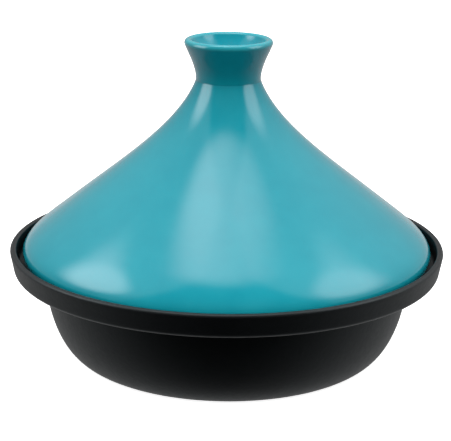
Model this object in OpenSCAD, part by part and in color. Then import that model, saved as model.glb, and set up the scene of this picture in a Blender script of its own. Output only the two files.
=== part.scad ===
// Tagine pot: a cast-iron base, which is a bowl under a rim band, and a conical stoneware lid
// that stands on the ledge inside the band and ends in a flared, open-topped knob.
// Millimetres, +Z up. The origin is at the centre of the base's flat bottom.

/* [Base] */
// Outer diameter of the rim band at its widest, just under its top edge
rim_d = 300; // [220:1:380]
// Height of the base, from its flat bottom to the top of the rim band
base_h = 77.2; // [56:0.1:110]
// Thickness of the rim band
rim_t = 4.5; // [3.5:0.1:7]
// How far the outside of the rim band leans in, from its top to its bottom
rim_draft = 2.8; // [0:0.1:4]
// Depth of the lid's ledge below the top of the rim band
ledge_depth = 12.2; // [6:0.1:18]
// Thickness of the ledge
ledge_t = 4; // [3:0.5:8]
// How far the rim band stands out past the wall of the bowl
overhang = 23; // [18:1:32]
// Thickness of the bowl's wall
bowl_wall = 4.5; // [3:0.5:7]
// Thickness of the bowl's floor
floor_t = 5; // [3:0.5:9]
// How far the bowl's wall curves in, from the ledge down to the flat bottom
bowl_round = 29; // [12:1:50]

/* [Lid] */
// Gap all round between the lid's widest ring and the rim band
lid_gap = 4.4; // [1:0.1:8]
// Height of the lid, from its foot to the top of the knob
lid_h = 155; // [115:1:240]
// Height of the lid's widest ring above its foot
edge_rise = 9.6; // [5:0.1:11]
// Radius of the lid's edge, from the widest ring down to the foot
edge_r = 12.5; // [11.5:0.5:18]
// Height of the line of the flank above the widest ring, measured at the widest ring
shoulder_rise = 6.1; // [4:0.1:10]
// Length of the shoulder, along the line of the flank
shoulder_len = 21.5; // [14:0.5:28]
// Width of the ring that the lid stands on
foot_w = 7; // [4:0.5:10]
// Thickness of the cone's wall
cone_wall = 6; // [4:0.5:9]
// Length of the cone's straight flank, above the shoulder
flank_len = 27.5; // [10:0.5:45]
// Length over which the flank keeps its direction as it turns up to the neck
flank_reach = 43; // [20:1:45]
// Diameter of the narrow waist between the cone and the knob
waist_d = 44.2; // [34:0.2:60]
// Lean of the cone's side where it meets the waist, from upright
neck_lean = 21.5; // [8:0.5:30]
// Length over which the neck keeps that lean as it turns down to the flank
neck_reach = 31.5; // [15:0.5:40]

/* [Knob] */
// Height of the knob, from the waist to the top of its lip
knob_h = 28; // [20:1:45]
// Outer diameter of the knob's lip
lip_d = 60; // [50:0.2:80]
// Thickness of the lip, which is fully rounded, and of the cup's wall
lip_t = 5.6; // [4:0.2:7]
// Lean of the knob's side under the lip, from upright
lip_lean = 22; // [10:1:35]
// Depth of the cup that is sunk into the knob
cup_depth = 22; // [12:1:24]
// Thickness of the clay between the cup and the hollow of the cone
web_t = 8; // [5:0.5:12]

/* [Hidden] */
$fn = 120;

// Rounded corners of the base
rim_outer_round = 1.8;
rim_inner_round = 1.2;
rim_lower_round = 3.5;
under_round = 2;
gutter_round = 3;
mouth_round = 1.5;

// Heights and radii of the base
rim_r = rim_d / 2;
rim_inner_r = rim_r - rim_t;
ledge_z = base_h - ledge_depth;
under_z = ledge_z - ledge_t;
rim_lean = atan(rim_draft / (base_h - under_z));
rim_corner_r = rim_r + rim_outer_round * ((1 + sin(rim_lean)) / cos(rim_lean) - 1);
bowl_r = rim_r - overhang;
bottom_r = bowl_r - bowl_round;
mouth_r = bowl_r - bowl_wall;

// The lid's edge: an arc from the foot out to the widest ring
lid_r = rim_inner_r - lid_gap;
edge = [lid_r, ledge_z + edge_rise];
foot_angle = asin(edge_rise / edge_r);
foot_r = lid_r - edge_r + edge_r * cos(foot_angle);

// The straight flanks, carried on upwards, would meet on the axis at the waist's height
top_z = ledge_z + lid_h;
waist_z = top_z - knob_h;
flank_slope = atan2(waist_z - edge[1] - shoulder_rise, lid_r);
flank_dir = [-cos(flank_slope), sin(flank_slope)];
flank_out = [sin(flank_slope), cos(flank_slope)];
flank_start = edge + [0, shoulder_rise] + shoulder_len * flank_dir;
flank_end = flank_start + flank_len * flank_dir;

// The shoulder: a curve that leaves the widest ring upright and bends over into the flank
shoulder_curve = [
    edge,
    edge + [0, 0.8 * shoulder_rise],
    flank_start - 0.65 * shoulder_len * flank_dir,
    flank_start
];

// The curve from the flank's end up to the waist
waist = [waist_d / 2, waist_z];
neck_curve = [
    flank_end,
    flank_end + flank_reach * flank_dir,
    waist + neck_reach * [sin(neck_lean), -cos(neck_lean)],
    waist
];

// The knob's lip, its flared outside and the cup inside it
lip_round = lip_t / 2;
lip_centre = [lip_d / 2 - lip_round, top_z - lip_round];
lip_up = [sin(lip_lean), cos(lip_lean)];
lip_out = [cos(lip_lean), -sin(lip_lean)];
flare_reach = 9;
flare_curve = [
    waist,
    waist + [0, flare_reach],
    lip_centre + lip_round * lip_out - flare_reach * lip_up,
    lip_centre + lip_round * lip_out
];
cup_z = top_z - cup_depth;
cup_round = 5;
cup_reach = 5;
cup_corner = [waist[0] - lip_t, cup_z + cup_round];
cup_curve = [
    cup_corner,
    cup_corner + [0, cup_reach],
    lip_centre - lip_round * lip_out - cup_reach * lip_up,
    lip_centre - lip_round * lip_out
];

// The hollow of the cone: it follows the outside for this share of the neck, then domes over
hollow_share = 0.75;
hollow_round = 10;
crown_reach = 13;
crown_z = cup_z - web_t;
hollow_r = foot_r - foot_w;
hollow_side = flank_start - cone_wall * flank_out;
hollow_corner = [hollow_r, hollow_side[1] - (hollow_r - hollow_side[0]) * tan(flank_slope)];

// Vector of length 1 along v
function unit(v) = v / norm(v);

// Points on the arc of radius r about a centre, from one angle to another
function arc(centre, r, from, to, steps) =
    [for (i = [0 : steps])
        let (a = from + (to - from) * i / steps)
        centre + r * [cos(a), sin(a)]];

// Points on the arc of radius r that rounds the corner q between the points p and s
function round_off(p, q, s, r, steps = 5) =
    let (
        to_p = unit(p - q),
        to_s = unit(s - q),
        half = acos(to_p * to_s) / 2,
        centre = q + unit(to_p + to_s) * r / sin(half),
        first = q + to_p * r / tan(half) - centre,
        last = q + to_s * r / tan(half) - centre,
        start = atan2(first[1], first[0]),
        turn = (atan2(last[1], last[0]) - start + 540) % 360 - 180
    )
    arc(centre, r, start, start + turn, steps);

// Point at t, from 0 to 1, on the curve that the four points of c draw
function on_curve(c, t) =
    pow(1 - t, 3) * c[0] + 3 * pow(1 - t, 2) * t * c[1] + 3 * (1 - t) * pow(t, 2) * c[2] + pow(t, 3) * c[3];

// Direction of travel at t on that curve
function along_curve(c, t) =
    unit(pow(1 - t, 2) * (c[1] - c[0]) + 2 * (1 - t) * t * (c[2] - c[1]) + pow(t, 2) * (c[3] - c[2]));

// Points on that curve, from one t to another, moved by depth to the left of its direction
function curve_points(c, steps, from = 0, to = 1, depth = 0) =
    [for (i = [0 : steps])
        let (t = from + (to - from) * i / steps, d = along_curve(c, t))
        on_curve(c, t) + depth * [-d[1], d[0]]];

// Quarter of an oval from the lowest point of a bowl's wall, at a = 0, to its mouth, at a = 90
function bowl_side(reach, height, from, to, steps) =
    [for (i = [0 : steps])
        let (a = from + (to - from) * i / steps)
        [bottom_r + reach * sin(a), ledge_z - height * cos(a)]];

// Round base: the bowl, the ledge that the lid stands on and the rim band around it
module cast_iron_base() {
    outer_stop = acos((ledge_t + under_round) / ledge_z);
    outer_side = bowl_side(bowl_round, ledge_z, 0, outer_stop, 14);
    under_wall = outer_side[len(outer_side) - 1];
    under_corner = [under_wall[0], under_z];
    rim_low = [rim_corner_r - rim_draft, under_z];
    rim_top_out = [rim_corner_r, base_h];
    rim_top_in = [rim_inner_r, base_h];
    gutter = [rim_inner_r, ledge_z];
    mouth = [mouth_r, ledge_z];
    inner_start = acos(2 * mouth_round / (ledge_z - floor_t));
    inner_side = bowl_side(bowl_round - bowl_wall, ledge_z - floor_t, inner_start, 0, 14);
    color("#1b1b1d")
    rotate_extrude()
    polygon(concat(
        [[0, 0]],
        outer_side,
        round_off(under_wall, under_corner, rim_low, under_round),
        round_off(under_corner, rim_low, rim_top_out, rim_lower_round),
        round_off(rim_low, rim_top_out, rim_top_in, rim_outer_round),
        round_off(rim_top_out, rim_top_in, gutter, rim_inner_round),
        round_off(rim_top_in, gutter, mouth, gutter_round),
        round_off(gutter, mouth, [mouth_r, floor_t], mouth_round),
        inner_side,
        [[0, floor_t]]
    ));
}

// Conical lid: foot ring, rounded edge, cone, neck and the knob with its cup, all one piece of clay
module ceramic_lid() {
    hollow_end = curve_points(neck_curve, 1, hollow_share, 1, cone_wall)[0];
    hollow_dir = along_curve(neck_curve, hollow_share);
    crown_curve = [
        hollow_end,
        hollow_end + crown_reach * hollow_dir,
        [crown_reach, crown_z],
        [0, crown_z]
    ];
    color("#12919f")
    rotate_extrude()
    polygon(concat(
        [[0, cup_z]],
        arc(cup_corner - [cup_round, 0], cup_round, -90, 0, 5),
        curve_points(cup_curve, 6, 1 / 6, 1),
        arc(lip_centre, lip_round, 180 - lip_lean, -lip_lean, 10),
        curve_points(flare_curve, 9, 8 / 9, 0),
        curve_points(neck_curve, 18, 17 / 18, 0),
        curve_points(shoulder_curve, 10, 1, 0),
        arc(edge - [edge_r, 0], edge_r, -foot_angle / 5, -foot_angle, 4),
        [[hollow_r, ledge_z]],
        round_off([hollow_r, ledge_z], hollow_corner, hollow_corner + flank_dir, hollow_round),
        curve_points(neck_curve, 12, 0, hollow_share, cone_wall),
        curve_points(crown_curve, 8, 1 / 8, 1)
    ));
}

cast_iron_base();
ceramic_lid();
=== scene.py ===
# %% [markdown]
# # A tagine pot: a glazed cone on a cast-iron base
#
# The pot comes apart into two pieces. A founder pours the black base, and a potter throws or presses the
# turquoise cone. Both are bodies of revolution, so each is fully described by one outline and one axis.
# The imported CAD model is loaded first. It stays the frame: it says how wide and how high each piece is.

# %% Load the frame
import math

import bpy
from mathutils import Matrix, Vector


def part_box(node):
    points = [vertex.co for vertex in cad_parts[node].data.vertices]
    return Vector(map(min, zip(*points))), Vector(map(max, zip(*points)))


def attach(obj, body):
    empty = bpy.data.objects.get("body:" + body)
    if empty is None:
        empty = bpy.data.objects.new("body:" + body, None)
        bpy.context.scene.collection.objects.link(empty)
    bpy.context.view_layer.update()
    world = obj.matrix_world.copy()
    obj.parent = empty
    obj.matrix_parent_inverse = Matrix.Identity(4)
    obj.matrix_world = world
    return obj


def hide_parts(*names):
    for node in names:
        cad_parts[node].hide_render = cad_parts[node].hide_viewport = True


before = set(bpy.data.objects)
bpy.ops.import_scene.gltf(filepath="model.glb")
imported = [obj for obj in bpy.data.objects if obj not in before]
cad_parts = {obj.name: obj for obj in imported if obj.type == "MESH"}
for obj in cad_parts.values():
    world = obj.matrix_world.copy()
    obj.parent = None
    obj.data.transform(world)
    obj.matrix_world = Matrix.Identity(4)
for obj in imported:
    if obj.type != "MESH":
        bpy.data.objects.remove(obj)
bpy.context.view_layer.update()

# %% [markdown]
# ## Overall sizes
#
# The outer sizes are read from the frame, so the looks can't drift away from the design. What the boxes
# don't tell, such as a wall's thickness or how hard a corner is rounded, is given here in millimetres.

# %% Sizes from the frame
MM = 0.001
rim_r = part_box("cast_iron_base")[1].x
rim_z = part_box("cast_iron_base")[1].z
lid_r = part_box("ceramic_lid")[1].x
ledge_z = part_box("ceramic_lid")[0].z
top_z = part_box("ceramic_lid")[1].z
print(f"rim {2 * rim_r:.4f} m across, {rim_z:.4f} m high")
print(f"lid {2 * lid_r:.4f} m across, top at {top_z:.4f} m")

# %% [markdown]
# ## Drawing an outline
#
# An outline is a list of points in a plane: x is the distance from the pot's axis and y is the height.
# Small helpers draw all of it. `arc` draws part of a circle, `round_off` rounds a corner between two
# straight lines, `bend` draws a smooth curve from four guide points, as a vector drawing program does,
# and `line` divides a straight line. `thread` takes out the points that lie on each other where two parts
# meet.


# %% Outline helpers
def arc(centre, radius, start, end, steps):
    """Points on an arc, with its angles in degrees."""
    angles = [math.radians(start + (end - start) * i / steps) for i in range(steps + 1)]
    return [centre + radius * Vector((math.cos(a), math.sin(a))) for a in angles]


def round_off(before, corner, after, radius, steps=8):
    """Points on the arc that rounds a corner between two straight lines."""
    to_before = (before - corner).normalized()
    to_after = (after - corner).normalized()
    half = to_before.angle(to_after) / 2
    centre = corner + (to_before + to_after).normalized() * radius / math.sin(half)
    first = corner + to_before * radius / math.tan(half) - centre
    last = corner + to_after * radius / math.tan(half) - centre
    start = math.degrees(math.atan2(first.y, first.x))
    turn = (math.degrees(math.atan2(last.y, last.x)) - start + 180) % 360 - 180
    return arc(centre, radius, start, start + turn, steps)


def bend(guides, steps, start=0.0, end=1.0, depth=0.0):
    """Points on a curve through four guide points, moved by depth to the left of its direction."""
    a, b, c, d = guides
    points = []
    for i in range(steps + 1):
        t = start + (end - start) * i / steps
        u = 1 - t
        point = u**3 * a + 3 * u * u * t * b + 3 * u * t * t * c + t**3 * d
        along = (u * u * (b - a) + 2 * u * t * (c - b) + t * t * (d - c)).normalized()
        points.append(point + depth * Vector((-along.y, along.x)))
    return points


def line(start, end, steps):
    """Points on a straight line, without its two ends."""
    return [start.lerp(end, i / steps) for i in range(1, steps)]


def thread(points):
    """The same points, without those that lie on the point before."""
    least = 0.02 * MM
    spaced = [here for before, here in zip(points, points[1:]) if (here - before).length > least]
    return [points[0], *spaced]


# %% [markdown]
# ## The outline of the cast-iron base
#
# The founder's pattern has no sharp corner anywhere, because sand would crumble there and the enamel
# would run thin. The bowl's wall is a quarter of an oval. It stands almost upright under the ledge and
# rolls into the flat bottom. The ledge carries the lid, and the rim band keeps the lid from sliding off.

# %% Outline of the base
rim_t = 4.5 * MM
rim_draft = 2.8 * MM
ledge_t = 4.0 * MM
overhang = 23.0 * MM
bowl_wall = 4.5 * MM
bowl_floor = 5.0 * MM
bowl_round = 29.0 * MM
rim_low_round = 3.5 * MM
rim_outer_round = 1.8 * MM
rim_inner_round = 1.2 * MM
gutter_round = 3.0 * MM
under_round = 2.0 * MM
mouth_round = 1.5 * MM
lost_to_rounding = 0.3 * MM


def oval_side(reach, height, start, end, steps):
    """The bowl's wall: a quarter of an oval that hangs from the height of the ledge."""
    bottom_r = rim_r - overhang - bowl_round
    angles = [math.radians(start + (end - start) * i / steps) for i in range(steps + 1)]
    return [Vector((bottom_r + reach * math.sin(a), ledge_z - height * math.cos(a))) for a in angles]


def base_outline():
    """From the middle of the bottom, up the outside, over the rim band and back to the bowl's floor."""
    under_z = ledge_z - ledge_t
    stop = math.degrees(math.acos((ledge_t + under_round) / ledge_z))
    outside = oval_side(bowl_round, ledge_z, 0, stop, 34)
    inner_depth = ledge_z - bowl_floor
    start = math.degrees(math.acos(2 * mouth_round / inner_depth))
    inside = oval_side(bowl_round - bowl_wall, inner_depth, start, 0, 30)
    under_corner = Vector((outside[-1].x, under_z))
    rim_low = Vector((rim_r - rim_draft, under_z))
    rim_out = Vector((rim_r + lost_to_rounding, rim_z))
    rim_in = Vector((rim_r - rim_t, rim_z))
    gutter = Vector((rim_r - rim_t, ledge_z))
    mouth = Vector((rim_r - overhang - bowl_wall, ledge_z))
    below_mouth = Vector((mouth.x, mouth.y - 0.1))
    bottom, floor = Vector((0, 0)), Vector((0, bowl_floor))
    corners = [
        round_off(outside[-1], under_corner, rim_low, under_round),
        round_off(under_corner, rim_low, rim_out, rim_low_round),
        round_off(rim_low, rim_out, rim_in, rim_outer_round),
        round_off(rim_out, rim_in, gutter, rim_inner_round),
        round_off(rim_in, gutter, mouth, gutter_round),
        round_off(gutter, mouth, below_mouth, mouth_round),
    ]
    points = [bottom, *line(bottom, outside[0], 12), *outside]
    for corner in corners:
        points += [*line(points[-1], corner[0], 5), *corner]
    return [*points, *inside, *line(inside[-1], floor, 12), floor]


base_points = thread(base_outline())
print("base outline:", len(base_points), "points")

# %% [markdown]
# ## The outline of the lid
#
# A cone thrown on a wheel is never quite straight. Here the flank runs straight for a short way, rolls
# over a soft shoulder at the bottom and sweeps up into a narrow neck at the top. Above the neck the clay
# flares out again into a knob with a cup in it. The inside follows the outside at an even wall, except at
# the foot and under the knob, where the potter leaves more clay.

# %% Guide curves of the lid
foot_w = 7.0 * MM
cone_wall = 6.0 * MM
edge_rise = 9.6 * MM
edge_r = 12.5 * MM
shoulder_rise = 6.1 * MM
shoulder_len = 21.5 * MM
shoulder_upright, shoulder_roll = 0.8, 0.65
flank_len = 27.5 * MM
flank_reach = 43 * MM
neck_reach = 31.5 * MM
knob_h = 28.0 * MM
waist_r = 22.1 * MM
lip_r = 30.0 * MM
lip_round = 2.8 * MM
lip_lean = 22.0
neck_lean = math.radians(21.5)
cup_z = top_z - 22.0 * MM
crown_z = cup_z - 8.0 * MM

foot_angle = math.degrees(math.asin(edge_rise / edge_r))
foot_r = lid_r - edge_r + edge_r * math.cos(math.radians(foot_angle))
hollow_r = foot_r - foot_w
edge = Vector((lid_r, ledge_z + edge_rise))
waist = Vector((waist_r, top_z - knob_h))
slope = math.atan2(waist.y - edge.y - shoulder_rise, lid_r)
flank_dir = Vector((-math.cos(slope), math.sin(slope)))
flank_out = Vector((math.sin(slope), math.cos(slope)))
flank_start = edge + Vector((0, shoulder_rise)) + shoulder_len * flank_dir
flank_end = flank_start + flank_len * flank_dir
shoulder = [
    edge,
    edge + Vector((0, shoulder_upright * shoulder_rise)),
    flank_start - shoulder_roll * shoulder_len * flank_dir,
    flank_start,
]
neck = [
    flank_end,
    flank_end + flank_reach * flank_dir,
    waist + neck_reach * Vector((math.sin(neck_lean), -math.cos(neck_lean))),
    waist,
]
print(f"flank slopes {math.degrees(slope):.1f} degrees, foot ring {foot_r:.4f} m in radius")


# %% [markdown]
# The knob and the hollow close the outline. The lip is a half-round roll, because a glaze pulls off a
# sharp edge in the kiln. At the foot the glaze stops a little above the clay ring that the lid was fired
# on, and it ends in a bead that stands proud of the bare clay. The crease at the waist is filled by the
# glaze, so it is a small round and not a line.


# %% Outline of the lid
def knob_outline():
    """From just above the waist, up the flare, over the lip and down the cup to the axis."""
    lip = Vector((lip_r - lip_round, top_z - lip_round))
    lean = math.radians(lip_lean)
    lip_up = Vector((math.sin(lean), math.cos(lean)))
    lip_out = Vector((math.cos(lean), -math.sin(lean)))
    reach, cup_round, cup_reach = 9.0 * MM, 5.0 * MM, 5.0 * MM
    corner = Vector((waist_r - 2 * lip_round, cup_z + cup_round))
    flare_end = lip + lip_round * lip_out
    cup_start = lip - lip_round * lip_out
    flare = [waist, waist + Vector((0, reach)), flare_end - reach * lip_up, flare_end]
    cup = [cup_start, cup_start - cup_reach * lip_up, corner + Vector((0, cup_reach)), corner]
    middle = Vector((0, cup_z))
    floor = arc(corner - Vector((cup_round, 0)), cup_round, 0, -90, 8)
    return [
        *bend(flare, 22, 0.06, 1),
        *arc(lip, lip_round, -lip_lean, 180 - lip_lean, 20)[1:],
        *bend(cup, 12)[1:],
        *floor[1:],
        *line(floor[-1], middle, 6),
        middle,
    ]


def hollow_outline():
    """From the top of the hollow down its inside to the foot ring."""
    share, crown_reach, inner_round = 0.75, 13 * MM, 10 * MM
    side = bend(neck, 30, 0, share, cone_wall)
    last = (side[-1] - side[-2]).normalized()
    top = Vector((0, crown_z))
    crown = [side[-1], side[-1] + crown_reach * last, Vector((crown_reach, crown_z)), top]
    inner = flank_start - cone_wall * flank_out
    corner = Vector((hollow_r, inner.y - (hollow_r - inner.x) * math.tan(slope)))
    foot_in = Vector((hollow_r, ledge_z))
    shoulder_in = round_off(foot_in, corner, corner + flank_dir, inner_round, 10)
    upward = [*shoulder_in, *line(shoulder_in[-1], side[0], 8), *side, *bend(crown, 16)[1:]]
    return upward[::-1]


def foot_outline():
    """The clay ring on both sides of the foot, where the glaze stops in a small bead."""
    bare, bead, bead_rise, ring_round = 2.4 * MM, 0.35 * MM, 0.3 * MM, 0.8 * MM
    inner_top = Vector((hollow_r, ledge_z + 12 * MM))
    inner_low = Vector((hollow_r, ledge_z))
    outer_low = Vector((foot_r, ledge_z))
    outer_up = arc(edge - Vector((edge_r, 0)), edge_r, -foot_angle, 0, 18)
    climb = [point for point in outer_up if point.y > ledge_z + bare]
    step = Vector((bead, 0))
    return [
        *line(inner_top, inner_low + Vector((0, bare)), 6),
        inner_low + Vector((0, bare)),
        inner_low + Vector((bead, bare - bead_rise)),
        *round_off(inner_top + step, inner_low + step, outer_low - step, ring_round, 5),
        *round_off(inner_low, outer_low - step, outer_up[3] - step, ring_round, 5),
        climb[0] - Vector((bead, bead_rise)),
        *climb,
    ]


def lid_outline():
    """From the top of the hollow, down the inside, round the foot, up the cone and the knob to the cup."""
    crease_half, crease_round = 0.15 * MM, 1.6 * MM
    before, after = bend(neck, 60)[-3], waist + Vector((0, 2 * MM))
    return [
        *hollow_outline(),
        *foot_outline(),
        *bend(shoulder, 26)[1:],
        *line(flank_start, flank_end, 10),
        *bend(neck, 56, 0, 0.97),
        *round_off(before, waist + Vector((crease_half, 0)), after, crease_round, 5),
        *knob_outline(),
    ]


lid_points = thread(lid_outline())
print("lid outline:", len(lid_points), "points")

# %% [markdown]
# ## Node trees written as Python
#
# Both the lathe and the finishes are node trees. `Wire` wraps a socket, so that sums such as `1 - mask *
# 0.5` add the Math nodes they need. Every other node comes from the one method `Recipe.node`, which takes
# the node's type, its settings and what goes into its sockets.


# %% Wires and recipes
class Wire:
    """An output socket that can be used in sums."""

    def __init__(self, recipe, socket):
        self.recipe, self.socket = recipe, socket

    def out(self, name):
        return Wire(self.recipe, self.socket.node.outputs[name])

    def sum(self, operation, *values):
        return self.recipe.node("ShaderNodeMath", {"operation": operation}, dict(enumerate(values)))

    def __add__(self, other):
        return self.sum("ADD", self, other)

    def __sub__(self, other):
        return self.sum("SUBTRACT", self, other)

    def __rsub__(self, other):
        return self.sum("SUBTRACT", other, self)

    def __mul__(self, other):
        return self.sum("MULTIPLY", self, other)

    def __truediv__(self, other):
        return self.sum("DIVIDE", self, other)

    def __pow__(self, other):
        return self.sum("POWER", self, other)

    __radd__, __rmul__ = __add__, __mul__


class Recipe:
    """A node tree that is filled one node at a time."""

    def __init__(self, tree):
        self.tree = tree

    def node(self, kind, settings=None, inputs=None, output=0):
        """Adds a node, sets it up, fills its sockets and gives back one of its outputs."""
        node = self.tree.nodes.new(kind)
        for name, value in (settings or {}).items():
            if name == "stops":
                self.set_stops(node.color_ramp, value)
            else:
                setattr(node, name, value)
        for name, value in (inputs or {}).items():
            if isinstance(value, Wire):
                self.tree.links.new(value.socket, node.inputs[name])
            else:
                node.inputs[name].default_value = value
        return Wire(self, node.outputs[output]) if len(node.outputs) else None

    @staticmethod
    def set_stops(ramp, stops):
        while len(ramp.elements) < len(stops):
            ramp.elements.new(0.5)
        for element, (place, shade) in zip(ramp.elements, stops):
            element.position, element.color = place, (*shade, 1)

    def mix(self, factor, first, second):
        """Blends two colours."""
        return self.node("ShaderNodeMix", {"data_type": "RGBA"}, {0: factor, 6: first, 7: second}, 2)

    def noise(self, place, scale, detail=3.0, roughness=0.5):
        """Noise from 0 to 1. The scale is in features a metre, so 1000 gives features a millimetre wide."""
        sockets = {"Vector": place, "Scale": scale, "Detail": detail, "Roughness": roughness}
        return self.node("ShaderNodeTexNoise", {"noise_dimensions": "3D"}, sockets)

    def step_up(self, value, low, high):
        """Goes smoothly from 0 to 1 as a value goes from low to high."""
        sockets = {"Value": value, "From Min": low, "From Max": high}
        return self.node("ShaderNodeMapRange", {"interpolation_type": "SMOOTHSTEP"}, sockets)

    def band(self, value, rise, fall):
        """Goes from 0 to 1 over the first pair of values, and back to 0 over the second pair."""
        return self.step_up(value, *rise) * (1 - self.step_up(value, *fall))


# %% [markdown]
# ## The lathe
#
# A lathe turns one outline round an axis. As Geometry Nodes it's a grid: one row of points for each point
# of the outline, and one column for each step of the turn. The tree looks up where each point of the
# outline lies and swings it round the axis. Then it joins the seam and the poles, and moves the skin in
# and out by a fraction of a millimetre, as a hand or a sand mould does. How sharply the outline bends is
# stored with each point, because a glaze is thin where a shape bends outwards and pools where it bends
# in.


# %% The lathe as a node tree
def lathe_tree():
    tree = bpy.data.node_groups.new("lathe", "GeometryNodeTree")
    weld = 0.002 * MM
    sockets = {
        "Outline": "NodeSocketObject",
        "Steps": "NodeSocketInt",
        "Unevenness": "NodeSocketFloat",
        "Unevenness Scale": "NodeSocketFloat",
        "Seed": "NodeSocketFloat",
        "Finish": "NodeSocketMaterial",
    }
    for name, kind in sockets.items():
        tree.interface.new_socket(name, in_out="INPUT", socket_type=kind)
    tree.interface.new_socket("Mesh", in_out="OUTPUT", socket_type="NodeSocketGeometry")
    make = Recipe(tree)
    given = make.node("NodeGroupInput")
    outline = make.node("GeometryNodeObjectInfo", None, {"Object": given.out("Outline")}, "Geometry")
    count = make.node("GeometryNodeAttributeDomainSize", None, {"Geometry": outline}, "Point Count")
    columns = given.out("Steps") + 1
    grid = make.node("GeometryNodeMeshGrid", None, {"Vertices X": count, "Vertices Y": columns}, "Mesh")
    index = make.node("GeometryNodeInputIndex")
    row = index.sum("FLOOR", (index + 0.5) / columns)
    column = index - row * columns
    spot = make.node("GeometryNodeSampleIndex", {"data_type": "FLOAT_VECTOR"},
                     {"Geometry": outline, "Value": make.node("GeometryNodeInputPosition"), "Index": row})
    parts = make.node("ShaderNodeSeparateXYZ", None, {0: spot})
    angle = column * (-2 * math.pi) / given.out("Steps")
    across = parts.out("X") * angle.sum("COSINE", angle)
    deep = parts.out("X") * angle.sum("SINE", angle)
    place = make.node("ShaderNodeCombineXYZ", None, {"X": across, "Y": deep, "Z": parts.out("Z")})
    named = make.node("GeometryNodeInputNamedAttribute", {"data_type": "FLOAT"}, {"Name": "bend"})
    sharp = make.node("GeometryNodeSampleIndex", {"data_type": "FLOAT"},
                      {"Geometry": outline, "Value": named, "Index": row})
    kept = make.node("GeometryNodeStoreNamedAttribute", {"data_type": "FLOAT", "domain": "POINT"},
                     {"Geometry": grid, "Name": "bend", "Value": sharp})
    turned = make.node("GeometryNodeSetPosition", None, {"Geometry": kept, "Position": place})
    joined = make.node("GeometryNodeMergeByDistance", None, {"Geometry": turned, "Distance": weld})
    uneven = make.node("ShaderNodeTexNoise", {"noise_dimensions": "4D"},
                       {"Vector": make.node("GeometryNodeInputPosition"), "W": given.out("Seed"),
                        "Scale": given.out("Unevenness Scale"), "Detail": 2.0})
    outwards = make.node("GeometryNodeInputNormal")
    push = make.node("ShaderNodeVectorMath", {"operation": "SCALE"},
                     {0: outwards, "Scale": (uneven - 1) * given.out("Unevenness")})
    skin = make.node("GeometryNodeSetPosition", None, {"Geometry": joined, "Offset": push})
    smooth = make.node("GeometryNodeSetShadeSmooth", None, {"Geometry": skin})
    real = make.node("GeometryNodeRealizeInstances", None, {"Geometry": smooth})
    done = make.node("GeometryNodeSetMaterial", None, {"Geometry": real, "Material": given.out("Finish")})
    make.node("NodeGroupOutput", None, {"Mesh": done})
    return tree


lathe = lathe_tree()
print("lathe tree:", len(lathe.nodes), "nodes")


# %% [markdown]
# ## Turning a piece
#
# Two functions work the lathe. The first lays the outline out as a string of points and measures how
# sharply it bends at each. The second runs the lathe and keeps only the finished mesh, so that the piece
# is an ordinary object: at the origin, unturned and at full size.


# %% Turning a piece
def outline_object(name, points):
    """The outline as a string of points, with its bend at each, from -1, inwards, to 1, outwards."""
    mesh = bpy.data.meshes.new(name)
    mesh.from_pydata([(p.x, 0, p.y) for p in points], [(i, i + 1) for i in range(len(points) - 1)], [])
    tightest = 3 * MM
    sharpest = 1 / tightest
    bends = [0.0]
    for before, here, after in zip(points, points[1:], points[2:]):
        turn = math.degrees((here - before).angle_signed(after - here, 0))
        reach = ((here - before).length + (after - here).length) / 2
        bends.append(max(-1, min(1, -math.radians(turn) / reach / sharpest)))
    bends.append(0.0)
    for _smoothing in range(2):
        bends = [(a + 2 * b + c) / 4 for a, b, c in zip(bends[:1] + bends, bends, bends[1:] + bends[-1:])]
    mesh.attributes.new("bend", "FLOAT", "POINT").data.foreach_set("value", bends)
    drawn = bpy.data.objects.new(name, mesh)
    bpy.context.scene.collection.objects.link(drawn)
    return drawn


def turn_piece(name, points, finish, steps, unevenness, scale, seed):
    """Turns an outline into a plain mesh of its own, and clears away what made it."""
    drawn = outline_object(name + "_outline", points)
    blank = bpy.data.objects.new(name + "_blank", bpy.data.meshes.new(name + "_blank"))
    bpy.context.scene.collection.objects.link(blank)
    modifier = blank.modifiers.new("lathe", "NODES")
    modifier.node_group = lathe
    wanted = {"Outline": drawn, "Steps": steps, "Unevenness": unevenness, "Unevenness Scale": scale,
              "Seed": seed, "Finish": finish}
    for item in lathe.interface.items_tree:
        if item.in_out == "INPUT":
            modifier[item.identifier] = wanted[item.name]
    depsgraph = bpy.context.evaluated_depsgraph_get()
    mesh = bpy.data.meshes.new_from_object(blank.evaluated_get(depsgraph), depsgraph=depsgraph)
    mesh.name = name
    mesh.materials.clear()
    mesh.materials.append(finish)
    mesh.polygons.foreach_set("material_index", [0] * len(mesh.polygons))
    piece = bpy.data.objects.new(name, mesh)
    bpy.context.scene.collection.objects.link(piece)
    bpy.data.objects.remove(blank)
    bpy.data.objects.remove(drawn)
    volume = sum(f.center.dot(f.normal) * f.area for f in mesh.polygons) / 3
    print(f"{name}: {len(mesh.polygons)} faces, {volume * 1e6:.0f} cm3, finish {mesh.materials[0].name}")
    return piece


# %% [markdown]
# ## Finish: turquoise glaze over stoneware
#
# A glaze is coloured glass. Light goes through it to the clay and comes back blue-green, and the glass
# itself mirrors the studio. So the shader has a coloured body under a clear coat. The colour drifts a
# little over the hand's width, gets lighter where the glaze runs thin over an edge, and deepens in the
# crease at the waist. The glass has a faint orange-peel surface. Below the glaze line the bare clay is
# dull and buff.


# %% Glaze
def new_finish(name):
    """An empty material, its recipe and the recipe's Object coordinates."""
    material = bpy.data.materials.new(name)
    material.use_nodes = True
    material.node_tree.nodes.clear()
    make = Recipe(material.node_tree)
    return material, make, make.node("ShaderNodeTexCoord", None, None, "Object")


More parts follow.
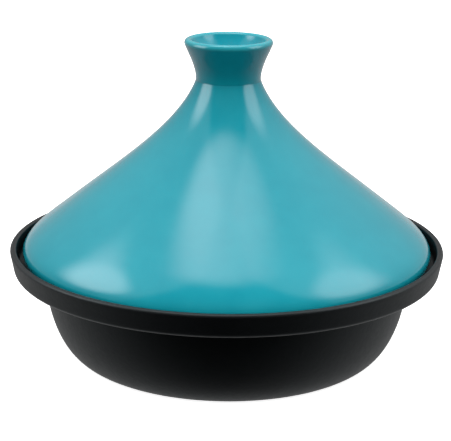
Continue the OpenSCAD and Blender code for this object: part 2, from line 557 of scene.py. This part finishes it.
def turquoise_glaze():
    material, make, place = new_finish("turquoise_glaze")
    height = make.node("ShaderNodeSeparateXYZ", None, {0: place}).out("Z")
    bend_here = make.node("ShaderNodeAttribute", {"attribute_name": "bend"}, None, "Fac")
    thin = make.step_up(bend_here, 0.15, 1.0)
    pooled = make.step_up(0 - bend_here, 0.05, 0.8)
    drift = make.noise(place, 11, 2.0)
    cloud = make.noise(place, 55, 3.0, 0.6)
    speck = make.noise(place, 900, 2.0, 0.6)
    deep, open_shade = (0.003, 0.33, 0.42, 1), (0.006, 0.37, 0.46, 1)
    pale, in_the_crease = (0.05, 0.50, 0.56, 1), (0.002, 0.15, 0.20, 1)
    damp_clay, dry_clay = (0.42, 0.31, 0.20, 1), (0.60, 0.48, 0.34, 1)
    glaze_stops = ledge_z + 1.7 * MM
    glaze_is_full = ledge_z + 1.95 * MM
    shade = make.mix(make.step_up(drift * 0.6 + cloud * 0.4, 0.3, 0.7), deep, open_shade)
    shade = make.mix(thin * 0.45, shade, pale)
    shade = make.mix(pooled * 0.55, shade, in_the_crease)
    grain = make.noise(place, 420, 4.0, 0.65)
    clay = make.mix(grain, damp_clay, dry_clay)
    wander = make.noise(place, 60, 2.0)
    bare = 1 - make.step_up(height - wander * 0.8 * MM, glaze_stops, glaze_is_full)
    colour = make.mix(bare, shade, clay)
    peel = make.noise(place, 150, 2.0, 0.45)
    ripple = make.noise(place, 34, 1.0)
    relief = peel * 0.035 + ripple * 0.3 + speck * 0.004 * (1 - bare) + grain * 0.25 * bare
    bump = make.node("ShaderNodeBump", None, {"Height": relief, "Strength": 0.5, "Distance": 0.6 * MM})
    surface = make.node("ShaderNodeBsdfPrincipled", None, {
        "Base Color": colour,
        "Roughness": 0.12 + bare * 0.72 + cloud * 0.05,
        "IOR": 1.5,
        "Coat Weight": 0.25 * (1 - bare),
        "Coat Roughness": 0.08,
        "Coat IOR": 1.5,
        "Normal": bump,
    })
    make.node("ShaderNodeOutputMaterial", None, {"Surface": surface})
    return material


# %% [markdown]
# ## Finish: black cast iron
#
# Iron poured in sand keeps the print of the sand: a fine, dry grain with soft hollows a few millimetres
# wide. A thin satin black enamel lies over it and follows every grain. It reflects softly, a little more
# on the outer edges, where hands and the lid rub it. The upright sides show faint streaks from fettling.


# %% Iron
def black_iron():
    material, make, place = new_finish("black_iron")
    bend_here = make.node("ShaderNodeAttribute", {"attribute_name": "bend"}, None, "Fac")
    rubbed = make.step_up(bend_here, 0.2, 1.0)
    sand = make.noise(place, 1100, 3.0, 0.6)
    pits = make.noise(place, 380, 3.0, 0.55)
    waves = make.noise(place, 45, 2.0)
    stretched = make.node("ShaderNodeVectorMath", {"operation": "MULTIPLY"}, {0: place, 1: (1, 1, 0.08)})
    streaks = make.noise(stretched, 260, 3.0, 0.6)
    in_hollows, on_tops = (0.0013, 0.0014, 0.0024, 1), (0.0028, 0.0030, 0.0042, 1)
    worn = (0.012, 0.0125, 0.014, 1)
    shade = make.mix(make.step_up(waves * 0.5 + pits * 0.5, 0.35, 0.65), in_hollows, on_tops)
    shade = make.mix(rubbed * 0.6, shade, worn)
    relief = sand * 0.22 + pits * 0.5 + waves * 0.5 + streaks * 0.14
    bump = make.node("ShaderNodeBump", None, {"Height": relief, "Strength": 0.55, "Distance": 0.35 * MM})
    surface = make.node("ShaderNodeBsdfPrincipled", None, {
        "Base Color": shade,
        "Roughness": 0.40 + pits * 0.12 + streaks * 0.06 - rubbed * 0.05,
        "IOR": 1.5,
        "Specular Tint": (0.82, 0.96, 1.0, 1),
        "Normal": bump,
    })
    make.node("ShaderNodeOutputMaterial", None, {"Surface": surface})
    return material


# %% [markdown]
# ## Turning the two pieces
#
# Each outline now goes on the lathe. The glazed lid needs many steps round, because a mirror-like skin
# shows every facet. The finished mesh takes the place of the plain CAD node and rides on the node's body.

# %% Turn the base and the lid
turn_steps = 256
iron_base = turn_piece(
    "iron_base", base_points, black_iron(),
    steps=turn_steps, unevenness=0.12 * MM, scale=70.0, seed=3.0,
)
glazed_lid = turn_piece(
    "glazed_lid", lid_points, turquoise_glaze(),
    steps=turn_steps, unevenness=0.10 * MM, scale=22.0, seed=8.0,
)

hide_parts("cast_iron_base")
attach(iron_base, "base")
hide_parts("ceramic_lid")
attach(glazed_lid, "lid")

# %% [markdown]
# ## The studio
#
# A glossy cone is hard to light, because it mirrors half the room. So the pot stands in a small light
# tent on a plain pale floor. The floor glows by itself, so it stays an even white right up to the pot.
# The pot doesn't mirror it: what the pot mirrors is the softboxes and the room below.


# %% Floor
def studio_floor():
    size = 30.0
    mesh = bpy.data.meshes.new("floor")
    corners = [(-size, -size, 0), (size, -size, 0), (size, size, 0), (-size, size, 0)]
    mesh.from_pydata(corners, [], [(0, 1, 2, 3)])
    floor = bpy.data.objects.new("floor", mesh)
    bpy.context.scene.collection.objects.link(floor)
    material, make, place = new_finish("pale_floor")
    paper = make.noise(place, 6, 2.0)
    tone = make.mix(paper, (0.90, 0.90, 0.90, 1), (0.93, 0.93, 0.93, 1))
    surface = make.node("ShaderNodeBsdfPrincipled", None, {
        "Base Color": tone, "Roughness": 0.9, "Specular IOR Level": 0.0,
        "Emission Color": (1, 1, 1, 1), "Emission Strength": 0.88,
    })
    make.node("ShaderNodeOutputMaterial", None, {"Surface": surface})
    mesh.materials.append(material)
    floor.visible_glossy = False
    floor.visible_diffuse = False
    return floor


studio_floor()


# %% [markdown]
# ## The softboxes
#
# One big softbox hangs overhead and gives the broad wedge of light down the front. It dims towards the
# right, so the wedge fades out on that side. Two softboxes stand close by at the sides and give the slim
# streaks on the neck and the bright patches on the shoulder. Each is only seen in reflections. The soft
# light that gives the glaze its colour comes from the tent.


# %% Softboxes
def softbox(name, place, aim, width, height, brightness, core, dimming=0):
    """A lamp behind cloth. Its brightness is what a camera would see in its middle, where 1 is white paper.

    The cloth is brightest in its middle and dims towards an oval edge. The core says how far out, as a
    share of the way to that edge, the full brightness lasts. The dimming says how much of it the lamp
    loses towards the right end of its width."""
    lamp = bpy.data.lights.new(name, "AREA")
    lamp.shape = "RECTANGLE"
    lamp.size, lamp.size_y = width, height
    lamp.energy = brightness * math.pi * width * height
    lamp.use_nodes = True
    lamp.node_tree.nodes.clear()
    make = Recipe(lamp.node_tree)
    cloth = make.node("ShaderNodeNewGeometry", None, None, "Parametric")
    parts = make.node("ShaderNodeSeparateXYZ", None, {0: cloth})
    across = parts.out("X") * 2 - 1
    along = parts.out("Y") * 2 - 1
    outwards = (across * across + along * along) ** 0.5
    glow = (1 - make.step_up(outwards, core, 1)) * (1 - make.step_up(parts.out("X"), 0.35, 0.9) * dimming)
    light = make.node("ShaderNodeEmission", None, {"Color": (1, 1, 1, 1), "Strength": glow})
    make.node("ShaderNodeOutputLight", None, {"Surface": light})
    held = bpy.data.objects.new(name, lamp)
    bpy.context.scene.collection.objects.link(held)
    held.location = place
    held.rotation_mode = "QUATERNION"
    held.rotation_quaternion = (Vector(aim) - Vector(place)).to_track_quat("-Z", "Y")
    held.visible_camera = False
    held.visible_diffuse = False
    return held


softbox(
    "overhead", place=(-0.005, -0.035, 0.72), aim=(-0.005, -0.034, 0.12),
    width=0.60, height=0.48, brightness=2.75, core=0.6, dimming=0.55,
)
softbox(
    "left_side", place=(-0.36, -0.075, 0.372), aim=(0, -0.075, 0.372),
    width=0.37, height=0.46, brightness=3.3, core=0.45,
)
softbox(
    "right_side", place=(0.38, -0.11, 0.43), aim=(0, -0.11, 0.43),
    width=0.42, height=0.60, brightness=2.15, core=0.45,
)


# %% [markdown]
# ## The room around the pot
#
# The world has three jobs, one for each kind of ray. What the pot mirrors is a grey room that gets
# brighter towards the ceiling, with a dark side behind the camera, so that the turquoise keeps its depth.
# Below it is a floor that is bright at the back and fades towards the front. What lights the pot softly
# is a tent, brightest overhead. What the camera sees past the floor is plain white.


# %% World
def studio_world():
    world = bpy.data.worlds.new("studio")
    world.use_nodes = True
    world.node_tree.nodes.clear()
    make = Recipe(world.node_tree)
    towards = make.node("ShaderNodeTexCoord", None, None, "Generated")
    facing = make.node("ShaderNodeSeparateXYZ", None, {0: towards})
    up = facing.out("Z")
    degrees_from_back = facing.sum("ARCTAN2", facing.out("X"), facing.out("Y")) * (180 / math.pi)
    either_side = degrees_from_back.sum("ABSOLUTE", degrees_from_back)
    walls, ceiling_adds = 0.42, 0.35
    room = make.band(either_side, (-1, 0), (114, 128)) * (walls + make.step_up(up, 0.2, 0.75) * ceiling_adds)
    room = room * (1 + facing.out("X") * 0.2)
    back_floor, front_floor, underfoot = 0.6, 0.005, 0.03
    floor = make.band(either_side, (-1, 0), (40, 150)) * back_floor + front_floor
    floor = floor + make.step_up(0 - up, 0.5, 0.95) * underfoot
    over = make.step_up(up, -0.12, 0.08)
    darkest = 0.004
    mirrored = darkest + room * over + floor * (1 - over)
    tent = (0.05 + make.step_up(up, 0, 0.85) * 0.95) * make.step_up(up, -0.04, 0.08) * 1.8
    rays = make.node("ShaderNodeLightPath")
    level = mirrored * (1 - rays.out("Is Diffuse Ray")) + tent * rays.out("Is Diffuse Ray")
    level = level * (1 - rays.out("Is Camera Ray")) + rays.out("Is Camera Ray")
    both = make.node("ShaderNodeBackground", None, {"Color": (1, 1, 1, 1), "Strength": level})
    make.node("ShaderNodeOutputWorld", None, {"Surface": both})
    bpy.context.scene.world = world


studio_world()
bpy.context.scene.view_settings.view_transform = "Standard"

# %% [markdown]
# ## The camera
#
# A long lens from a metre away looks down at the pot by between 16 and 17 degrees. It keeps the ellipses
# of the rim and the lip close to each other in shape. The camera leans by half a degree, and the shift is
# small.

# %% Camera
lens = bpy.data.cameras.new("camera")
lens.lens = 119.88
lens.sensor_width = 36.0
lens.shift_x = -0.0042
camera = bpy.data.objects.new("camera", lens)
bpy.context.scene.collection.objects.link(camera)
look_down = 16.55
roll = 0.58
camera.location = (0.0003, -1.0002, 0.3897)
camera.rotation_mode = "ZYX"
camera.rotation_euler = (math.radians(90 - look_down), 0, math.radians(roll))
bpy.context.scene.camera = camera
